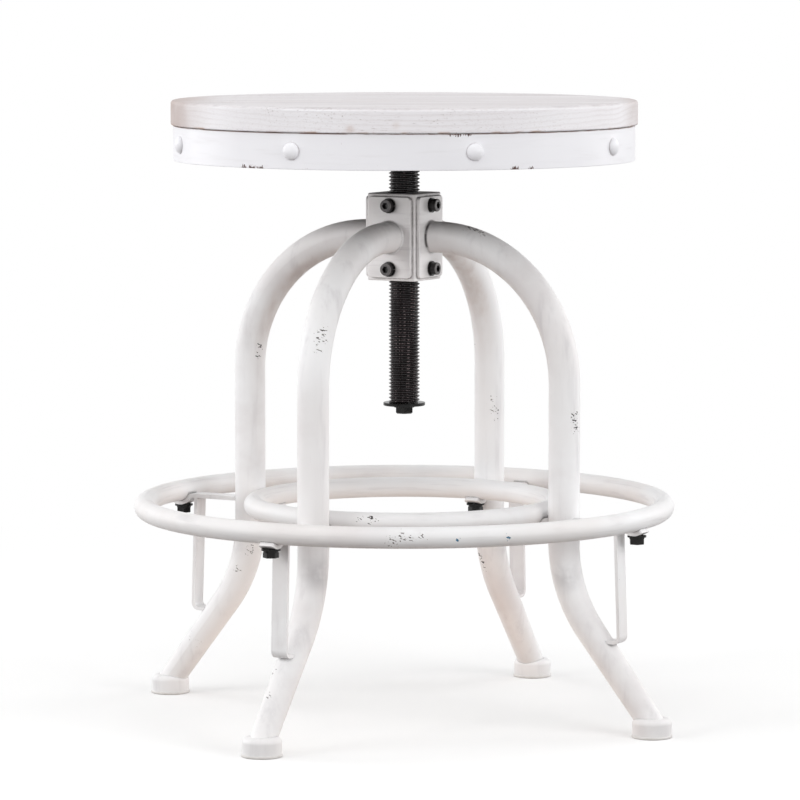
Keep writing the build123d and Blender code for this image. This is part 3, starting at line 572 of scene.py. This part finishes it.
def whitewashed_wood(name):
    """Pale limed timber: growth rings along the boards, open pores and warmer end grain."""
    low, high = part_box("seat_top")
    half = high.x
    make = Finish(name)
    x, y, z = make.parts(make.turned(BOARD_TURN))
    drift = make.grain((2.5, 13, 13), detail=3.0, rough=0.5, turn=BOARD_TURN)
    sway = make.product(make.math("SUBTRACT", drift, 0.5), RING_SWAY)
    deep = make.math("ADD", make.math("SUBTRACT", z, low.z - LOG_DEPTH), sway)
    cycle = make.math("FRACT", make.product(make.length(y, deep), RINGS_PER_METRE))
    late = make.ramp(cycle, low=0.93, high=1.0, start=1.0, end=0.0)
    late = make.product(make.ramp(cycle, low=0.35, high=0.92), late)
    side = make.blended(make.noise(5.0), WOOD_SIDE, low=0.38, high=0.64)
    boards = make.grain((2.5, 40, 40), detail=6.0, rough=0.72, turn=BOARD_TURN)
    top = make.blended(boards, WOOD_TOP, low=0.40, high=0.66)
    base = make.mix(make.ramp(z, *(high.z - depth for depth in WOOD_TOP_DEPTHS)), side, top)
    fibre = make.grain((30, 900, 900), detail=4.0, rough=0.65, turn=BOARD_TURN)
    base = make.layer(base, WOOD_FIBRE, make.ramp(fibre, low=0.50, high=0.78, end=0.40))
    patchy = make.patches(scale=9.0, low=0.35, high=0.7, start=0.15, detail=3.0, rough=0.6)
    base = make.layer(base, WOOD_RING, make.product(late, patchy), strength=0.20)
    pores = make.grain((95, 1500, 1500), detail=2.0, rough=0.5, turn=BOARD_TURN)
    opened = make.patches(scale=14.0, low=0.44, high=0.70, end=0.11, detail=3.0, rough=0.6)
    opened = make.product(opened, make.ramp(x, -half * 0.7, half * 0.3, start=1.0, end=0.3))
    pore = make.ramp(make.math("ADD", pores, opened), low=0.68, high=0.75)
    base = make.layer(base, WOOD_PORE, pore, strength=0.65)
    left = make.ramp(x, -half, -half * 0.77, start=0.95, end=0.0)
    right = make.ramp(x, half * 0.90, half, end=0.60)
    blotches = make.patches(scale=20.0, low=0.3, high=0.7, start=0.7, detail=3.0)
    base = make.layer(base, WOOD_END, make.product(make.math("MAXIMUM", left, right), blotches))
    worn = make.ramp(z, low.z, low.z + WOOD_BARE_EDGE, start=1.0, end=0.0)
    worn = make.product(worn, make.patches(scale=42.0, low=0.50, high=0.68, detail=3.0))
    worn = make.math("MAXIMUM", worn, make.clusters(WOOD_SPOTS))
    base = make.layer(base, WOOD_BARE, worn, strength=0.8)
    relief = make.bump(fibre, strength=0.22, depth=0.25 * MM)
    relief = make.pit(late, strength=0.10, depth=0.3 * MM, below=relief)
    relief = make.pit(pore, strength=0.4, depth=0.2 * MM, below=relief)
    rough = make.ramp(fibre, low=0.3, high=0.75, start=0.52, end=0.72)
    return make.surface(Base_Color=base, Roughness=rough, Normal=relief, Specular_IOR_Level=0.3)


def plywood(name):
    """Dark-stained plywood of the seat's core, with stripes of plies on its rim."""
    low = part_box("seat_core")[0]
    make = Finish(name)
    z = make.height()
    figure = make.grain((6, 90, 300), detail=4.0, rough=0.6, turn=PLY_TURN)
    base = make.blended(figure, PLY_STAIN, low=0.38, high=0.68)
    plies = make.math("FRACT", make.product(make.math("SUBTRACT", z, low.z), PLIES_PER_METRE))
    stripe = make.math("ABSOLUTE", make.math("SUBTRACT", plies, 0.5))
    stripe = make.ramp(stripe, low=0.20, high=0.28)
    above_face = make.ramp(z, *(low.z + depth for depth in PLY_FACE))
    base = make.layer(base, PLY_STRIPE, make.product(above_face, stripe), strength=0.55)
    relief = make.bump(figure, strength=0.25, depth=0.3 * MM)
    rough = make.ramp(figure, low=0.3, high=0.7, start=0.55, end=0.75)
    return make.surface(Base_Color=base, Roughness=rough, Normal=relief)


def black_oxide(name):
    """Blackened steel, duller in patches, with dust in its corners and a fine tooth."""
    make = Finish(name)
    patch = make.noise(140.0, detail=4.0, rough=0.6)
    base = make.blended(patch, OXIDE_BLACK, low=0.36, high=0.68)
    dust = make.ramp(make.creases(OXIDE_CREASE), low=0.35, high=0.9)
    dust = make.product(dust, make.noise(300.0, detail=3.0))
    base = make.layer(base, OXIDE_DUST, dust, strength=0.25)
    relief = make.bump(make.noise(900.0, detail=3.0, rough=0.6), strength=0.18, depth=0.1 * MM)
    rough = make.ramp(patch, low=0.3, high=0.7, start=0.16, end=0.30)
    return make.surface(Base_Color=base, Roughness=rough, Normal=relief, Specular_IOR_Level=0.24)


def thread_steel(name):
    """Oiled dark steel of the lifting screw, with bright glints painted on its crests in upright
    streaks.
    """
    make = Finish(name)
    patch = make.noise(140.0, detail=4.0, rough=0.6)
    base = make.blended(patch, SCREW_BLACK, low=0.36, high=0.68)
    x, y = make.parts()[:2]
    # Painted glints: bright upright streaks on the crests
    crest = make.ramp(make.length(x, y), THREAD_DIAMETER / 2 - SCREW_CREST, THREAD_DIAMETER / 2)
    glint_columns = make.ramp(make.grain((420, 420, 26), detail=2.0, rough=0.5), low=0.50, high=0.68)
    base = make.layer(base, SCREW_GLINT, make.product(crest, glint_columns), strength=0.85)
    relief = make.bump(make.noise(1200.0, detail=3.0, rough=0.6), strength=0.18, depth=0.1 * MM)
    rough = make.ramp(patch, low=0.3, high=0.7, start=0.12, end=0.26)
    return make.surface(Base_Color=base, Roughness=rough, Normal=relief, Specular_IOR_Level=0.42)


def socket_steel(name):
    """Blackened socket screws: a painted grey reflection on the faces, painted highlights on the
    rims, painted shade in the sockets, and black sides.
    """
    make = Finish(name)
    patch = make.noise(260.0, detail=4.0, rough=0.6)
    side = make.blended(patch, SOCKET_SIDE, low=0.36, high=0.68)
    face = make.blended(patch, SOCKET_FACE_REFLECTION, low=0.36, high=0.68)
    # Painted reflection on the faces that look outward, with painted highlights round their rims
    shown = make.outward()
    base = make.layer(side, face, make.ramp(shown, low=0.80, high=0.95))
    rim = make.ramp(shown, low=0.80, high=0.97, start=1.0, end=0.0)
    rim = make.product(make.ramp(shown, low=0.30, high=0.60), rim)
    base = make.layer(base, SOCKET_RIM_HIGHLIGHT, rim, strength=0.8)
    # Painted shade, darkest in the sockets and tight corners
    socket_shade = make.ramp(make.creases(SOCKET_CREASE), low=0.22, high=0.50)
    base = make.layer(base, SOCKET_HOLE_SHADE, socket_shade)
    relief = make.bump(make.noise(900.0, detail=3.0, rough=0.6), strength=0.18, depth=0.1 * MM)
    rough = make.ramp(patch, low=0.3, high=0.7, start=0.28, end=0.42)
    return make.surface(Base_Color=base, Roughness=rough, Normal=relief, Specular_IOR_Level=0.4)


def zinc(name):
    """Plated steel of the nuts inside the rings."""
    make = Finish(name)
    grain = make.noise(420.0, detail=3.0, rough=0.6)
    base = make.blended(grain, ZINC_GREY, low=0.35, high=0.7)
    relief = make.bump(grain, strength=0.12, depth=0.1 * MM)
    rough = make.ramp(grain, low=0.3, high=0.7, start=0.30, end=0.45)
    return make.surface(Base_Color=base, Roughness=rough, Metallic=1.0, Normal=relief)


def glide_plastic(name):
    """White plastic of the glides, scuffed where it meets the floor."""
    make = Finish(name)
    cloud = make.noise(60.0, detail=3.0, rough=0.6)
    base = make.blended(cloud, GLIDE_WHITE, low=0.36, high=0.68)
    scuff = make.ramp(make.height(), 0.0, GLIDE_SCUFF_HEIGHT, start=1.0, end=0.0)
    scuff = make.product(scuff, make.noise(260.0, detail=4.0, rough=0.7))
    base = make.layer(base, GLIDE_SCUFF, scuff)
    relief = make.bump(make.noise(900.0), strength=0.15, depth=0.1 * MM)
    rough = make.ramp(cloud, low=0.3, high=0.7, start=0.40, end=0.55)
    return make.surface(Base_Color=base, Roughness=rough, Normal=relief)


def floor_finish(name):
    """Pale studio floor that reads as white and keeps the object's shadow."""
    make = Finish(name)
    base = make.blended(make.noise(3.0), FLOOR_WHITE, low=0.3, high=0.7)
    matt = make.node("ShaderNodeBsdfDiffuse", {"Color": base}).outputs[0]
    glow = make.node("ShaderNodeEmission", {"Strength": FLOOR_GLOW}).outputs[0]
    lit = make.node("ShaderNodeAddShader", {0: matt, 1: glow}).outputs[0]
    white = make.node("ShaderNodeEmission", {"Strength": ROOM_SEEN}).outputs[0]
    gap = make.measure("LENGTH", make.place)
    far = make.ramp(gap, *FLOOR_FADE)
    shown = make.node("ShaderNodeMixShader", {0: far, 1: lit, 2: white}).outputs[0]
    thrown = make.mix(make.ramp(gap, *BOUNCE_FAR), BOUNCE_GREY, BOUNCE_PALE)
    thrown = make.mix(make.ramp(gap, *BOUNCE_NEAR), BOUNCE_WARM, thrown)
    bounce = make.node("ShaderNodeBsdfDiffuse", {"Color": thrown}).outputs[0]
    inputs = {0: seen_directly(make.tree), 1: bounce, 2: shown}
    make.output(make.node("ShaderNodeMixShader", inputs).outputs[0])
    return make.material


def add_object(name, data):
    made = bpy.data.objects.new(name, data)
    bpy.context.scene.collection.objects.link(made)
    return made


def helical_thread(name, bottom, top):
    """A rod with a true right-hand thread between two heights, closed at both ends."""
    outer = THREAD_DIAMETER / 2
    # The ridge starts one turn below the rod, and the spare turns are cut off flat
    turns = math.ceil((top - bottom) / THREAD_PITCH) + THREAD_SPARE_TURNS
    steps = turns * THREAD_STEPS
    rod = bmesh.new()
    rows = []
    for step in range(steps + 1):
        angle = math.tau * step / THREAD_STEPS
        rise = bottom + THREAD_PITCH * (step / THREAD_STEPS - 1)
        row = []
        for share, depth in THREAD_RIDGE:
            radius = outer - THREAD_DEPTH * (1 - depth)
            height = rise + THREAD_PITCH * share
            row.append(rod.verts.new((radius * math.cos(angle), radius * math.sin(angle), height)))
        rows.append(row)
    for step in range(steps):
        here, ahead = rows[step], rows[step + 1]
        for corner in range(len(THREAD_RIDGE) - 1):
            rod.faces.new((here[corner], ahead[corner], ahead[corner + 1], here[corner + 1]))
        # The last corner of a ridge meets the first one of the next turn
        if step + THREAD_STEPS < steps:
            above, above_ahead = rows[step + THREAD_STEPS], rows[step + THREAD_STEPS + 1]
            rod.faces.new((here[-1], ahead[-1], above_ahead[0], above[0]))
    for height, side in ((bottom, -1), (top, 1)):
        geometry = rod.verts[:] + rod.edges[:] + rod.faces[:]
        bmesh.ops.bisect_plane(
            rod, geom=geometry, plane_co=(0, 0, height), plane_no=(0, 0, side), clear_outer=True
        )
    open_edges = [edge for edge in rod.edges if edge.is_boundary]
    bmesh.ops.holes_fill(rod, edges=open_edges, sides=0)
    bmesh.ops.recalc_face_normals(rod, faces=rod.faces[:])
    mesh = bpy.data.meshes.new(name)
    rod.to_mesh(mesh)
    rod.free()
    mesh.shade_smooth()
    mesh.set_sharp_from_angle(angle=THREAD_SHARP)
    return add_object(name, mesh)


# Finishes of the nodes, by material slot, and those of a few nodes by name
leg_paint = worn_paint("leg_paint", LEG_WHITE, LEG_STREAKS, grime_and_shade=0.55, sheen=0.0)
ring_paint = worn_paint("ring_paint", RING_WHITE, RING_STREAKS, grime_and_shade=0.55, sheen=0.0)
hub_paint = worn_paint("hub_paint", HUB_WHITE, HUB_STREAKS, grime_and_shade=0.95, sheen=0.08)
screw_finish = socket_steel("black_steel_painted_sheen")
SLOT_FINISH = {
    "seat_wood": whitewashed_wood("limed_wood"),
    "plywood": plywood("birch_plywood"),
    "band_paint": band_paint("band_white"),
    "frame_paint": leg_paint,
    "screw_steel": thread_steel("oiled_steel"),
    "black_hardware": black_oxide("black_oxide"),
    "plain_steel": zinc("zinc_plate"),
    "glide_plastic": glide_plastic("white_plastic"),
}
for node_name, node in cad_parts.items():
    slot = node.material_slots[0].material.name.split(".")[0]
    finish = SLOT_FINISH[slot]
    if node_name.endswith("_ring"):
        finish = ring_paint
    if node_name == "hub_block" or node_name.endswith("_leg_plate"):
        finish = hub_paint
    if node_name == "plate_screws":
        finish = screw_finish
    node.material_slots[0].material = finish

# Lifting screw with its true thread
spindle_low, spindle_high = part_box("spindle")
thread = helical_thread("lifting_screw_thread", spindle_low.z, spindle_high.z)
thread.data.materials.append(SLOT_FINISH["screw_steel"])
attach(thread, "seat")
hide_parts("spindle")

# Studio: floor, lamps, room and camera
floor_mesh = bpy.data.meshes.new("studio_floor")
floor_corners = [(-1, -1), (1, -1), (1, 1), (-1, 1)]
floor_points = [(x * FLOOR_HALF, y * FLOOR_HALF, 0) for x, y in floor_corners]
floor_mesh.from_pydata(floor_points, [], [(0, 1, 2, 3)])
floor_mesh.materials.append(floor_finish("studio_floor"))
floor = add_object("studio_floor", floor_mesh)

for lamp_name, (right, ahead, up), width, height, power in LAMPS:
    light = bpy.data.lights.new(lamp_name, "AREA")
    light.shape = "RECTANGLE"
    light.size = width
    light.size_y = height
    light.energy = power
    lamp = add_object(lamp_name, light)
    lamp.location = VIEW_RIGHT * right + VIEW_AHEAD * ahead + UP * up
    lamp.rotation_euler = (LAMP_AIM - lamp.location).to_track_quat("-Z", "Y").to_euler()

world = bpy.data.worlds.new("studio_world")
world.use_nodes = True
bpy.context.scene.world = world
room = world.node_tree
room.nodes.clear()
room_range = {"Value": seen_directly(room), "To Min": ROOM_LIGHT, "To Max": ROOM_SEEN}
room_strength = add_node(room, "ShaderNodeMapRange", room_range).outputs[0]
room_inputs = {"Color": ROOM_WHITE, "Strength": room_strength}
background = add_node(room, "ShaderNodeBackground", room_inputs).outputs[0]
add_node(room, "ShaderNodeOutputWorld", {"Surface": background})

camera_data = bpy.data.cameras.new("camera")
camera_data.lens = CAMERA_LENS
camera_data.sensor_width = CAMERA_SENSOR
camera_data.clip_end = CAMERA_REACH
camera = add_object("camera", camera_data)
camera.location = VIEW_RIGHT * CAMERA_SIDE - VIEW_AHEAD * CAMERA_BACK + UP * CAMERA_HEIGHT
camera.rotation_euler = (math.pi / 2 - CAMERA_PITCH, 0, CAMERA_TURN)
bpy.context.scene.camera = camera
bpy.context.scene.view_settings.view_transform = "Standard"
